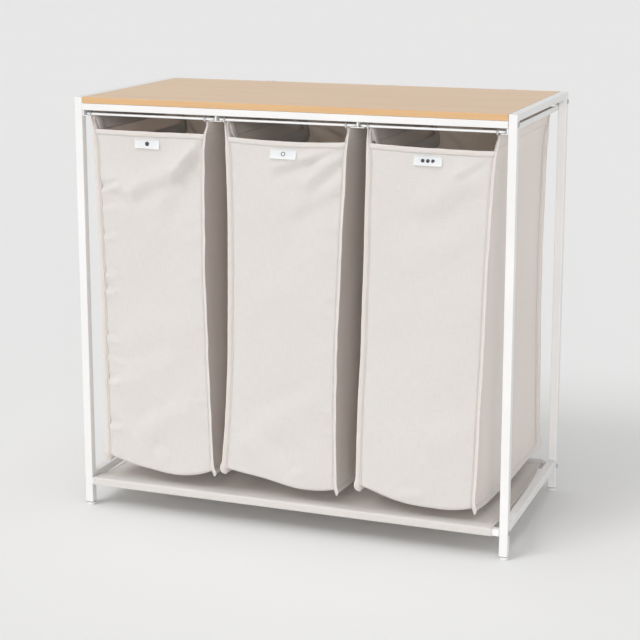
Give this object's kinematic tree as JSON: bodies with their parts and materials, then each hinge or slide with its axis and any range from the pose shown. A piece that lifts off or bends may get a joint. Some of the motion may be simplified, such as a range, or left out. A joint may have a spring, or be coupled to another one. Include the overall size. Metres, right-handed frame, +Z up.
{
  "type": "laundry sorter",
  "caption": "Free-standing laundry sorter: square-tube steel frame, wood top, and tall canvas bags with strap handles that pull out on wire carriages over a cloth sling shelf.",
  "frame": {"origin": "on the floor under the middle of the frame", "axes": "+X to the right of someone in front of it, front faces -Y, +Z up"},
  "size_m": [0.8598, 0.4196, 0.8115],
  "materials": {
    "white_powder_coat": "satin white powder coat",
    "white_wire_coat": "satin white coating on round wire",
    "light_oak_laminate": "light oak foil on board, grain along X, warmer edge band",
    "natural_canvas": "plain-weave oatmeal canvas with bound seams",
    "cotton_webbing": "natural cotton webbing",
    "white_tag": "white woven label",
    "white_plastic": "off-white moulded plastic",
    "grey_plastic": "grey moulded plastic",
    "zinc_plated_steel": "zinc-plated steel"
  },
  "bodies": {
    "frame": {"left_front_upright": "white_powder_coat", "left_front_plug": "grey_plastic", "left_front_top_bolt": "zinc_plated_steel", "left_front_bottom_bolt": "zinc_plated_steel", "left_back_upright": "white_powder_coat", "left_back_plug": "grey_plastic", "left_back_top_bolt": "zinc_plated_steel", "left_back_bottom_bolt": "zinc_plated_steel", "left_top_rail": "white_powder_coat", "left_bottom_rail": "white_powder_coat", "right_front_upright": "white_powder_coat", "right_front_plug": "grey_plastic", "right_front_top_bolt": "zinc_plated_steel", "right_front_bottom_bolt": "zinc_plated_steel", "right_back_upright": "white_powder_coat", "right_back_plug": "grey_plastic", "right_back_top_bolt": "zinc_plated_steel", "right_back_bottom_bolt": "zinc_plated_steel", "right_top_rail": "white_powder_coat", "right_bottom_rail": "white_powder_coat", "front_top_rail": "white_powder_coat", "back_top_rail": "white_powder_coat", "bottom_front_tube": "white_powder_coat", "bottom_back_tube": "white_powder_coat", "wood_top": "light_oak_laminate", "left_board_screw": "zinc_plated_steel", "right_board_screw": "zinc_plated_steel", "left_board_clip": "white_plastic", "middle_board_clip": "white_plastic", "right_board_clip": "white_plastic", "left_runner": "white_powder_coat", "middle_left_runner": "white_powder_coat", "middle_right_runner": "white_powder_coat", "right_runner": "white_powder_coat", "sling_shelf": "natural_canvas"},
    "left_bag_carriage": {"left_carriage": "white_wire_coat", "left_bag": "natural_canvas", "left_bag_left_rod": "zinc_plated_steel", "left_bag_right_rod": "zinc_plated_steel", "left_label": "white_tag"},
    "left_bag_left_strap": {"left_bag_left_handle": "cotton_webbing"},
    "left_bag_right_strap": {"left_bag_right_handle": "cotton_webbing"},
    "middle_bag_carriage": {"middle_carriage": "white_wire_coat", "middle_bag": "natural_canvas", "middle_bag_left_rod": "zinc_plated_steel", "middle_bag_right_rod": "zinc_plated_steel", "middle_label": "white_tag"},
    "middle_bag_left_strap": {"middle_bag_left_handle": "cotton_webbing"},
    "middle_bag_right_strap": {"middle_bag_right_handle": "cotton_webbing"},
    "right_bag_carriage": {"right_carriage": "white_wire_coat", "right_bag": "natural_canvas", "right_bag_left_rod": "zinc_plated_steel", "right_bag_right_rod": "zinc_plated_steel", "right_label": "white_tag"},
    "right_bag_left_strap": {"right_bag_left_handle": "cotton_webbing"},
    "right_bag_right_strap": {"right_bag_right_handle": "cotton_webbing"},
    "left_front_levelling_foot": {"left_front_foot": "white_plastic"},
    "left_back_levelling_foot": {"left_back_foot": "white_plastic"},
    "right_front_levelling_foot": {"right_front_foot": "white_plastic"},
    "right_back_levelling_foot": {"right_back_foot": "white_plastic"}
  },
  "joints": [
    {"name": "left_bag_slide", "type": "slide", "parent": "frame", "child": "left_bag_carriage", "axis": [0, -1, 0], "range_m": [0, 0.3]},
    {"name": "left_bag_left_handle_hinge", "type": "hinge", "parent": "left_bag_carriage", "child": "left_bag_left_strap", "pos_m": [-0.39369, 0, 0.77205], "axis": [0, -1, 0], "range_deg": [0, 72]},
    {"name": "left_bag_right_handle_hinge", "type": "hinge", "parent": "left_bag_carriage", "child": "left_bag_right_strap", "pos_m": [-0.16109, 0, 0.77205], "axis": [0, 1, 0], "range_deg": [0, 72]},
    {"name": "middle_bag_slide", "type": "slide", "parent": "frame", "child": "middle_bag_carriage", "axis": [0, -1, 0], "range_m": [0, 0.3]},
    {"name": "middle_bag_left_handle_hinge", "type": "hinge", "parent": "middle_bag_carriage", "child": "middle_bag_left_strap", "pos_m": [-0.1183, 0, 0.77205], "axis": [0, -1, 0], "range_deg": [0, 72]},
    {"name": "middle_bag_right_handle_hinge", "type": "hinge", "parent": "middle_bag_carriage", "child": "middle_bag_right_strap", "pos_m": [0.1143, 0, 0.77205], "axis": [0, 1, 0], "range_deg": [0, 72]},
    {"name": "right_bag_slide", "type": "slide", "parent": "frame", "child": "right_bag_carriage", "axis": [0, -1, 0], "range_m": [0, 0.3]},
    {"name": "right_bag_left_handle_hinge", "type": "hinge", "parent": "right_bag_carriage", "child": "right_bag_left_strap", "pos_m": [0.15839, 0, 0.77205], "axis": [0, -1, 0], "range_deg": [0, 72]},
    {"name": "right_bag_right_handle_hinge", "type": "hinge", "parent": "right_bag_carriage", "child": "right_bag_right_strap", "pos_m": [0.39099, 0, 0.77205], "axis": [0, 1, 0], "range_deg": [0, 72]},
    {"name": "left_front_foot_height", "type": "slide", "parent": "frame", "child": "left_front_levelling_foot", "axis": [0, 0, -1], "range_m": [0, 0.008]},
    {"name": "left_back_foot_height", "type": "slide", "parent": "frame", "child": "left_back_levelling_foot", "axis": [0, 0, -1], "range_m": [0, 0.008]},
    {"name": "right_front_foot_height", "type": "slide", "parent": "frame", "child": "right_front_levelling_foot", "axis": [0, 0, -1], "range_m": [0, 0.008]},
    {"name": "right_back_foot_height", "type": "slide", "parent": "frame", "child": "right_back_levelling_foot", "axis": [0, 0, -1], "range_m": [0, 0.008]}
  ]
}
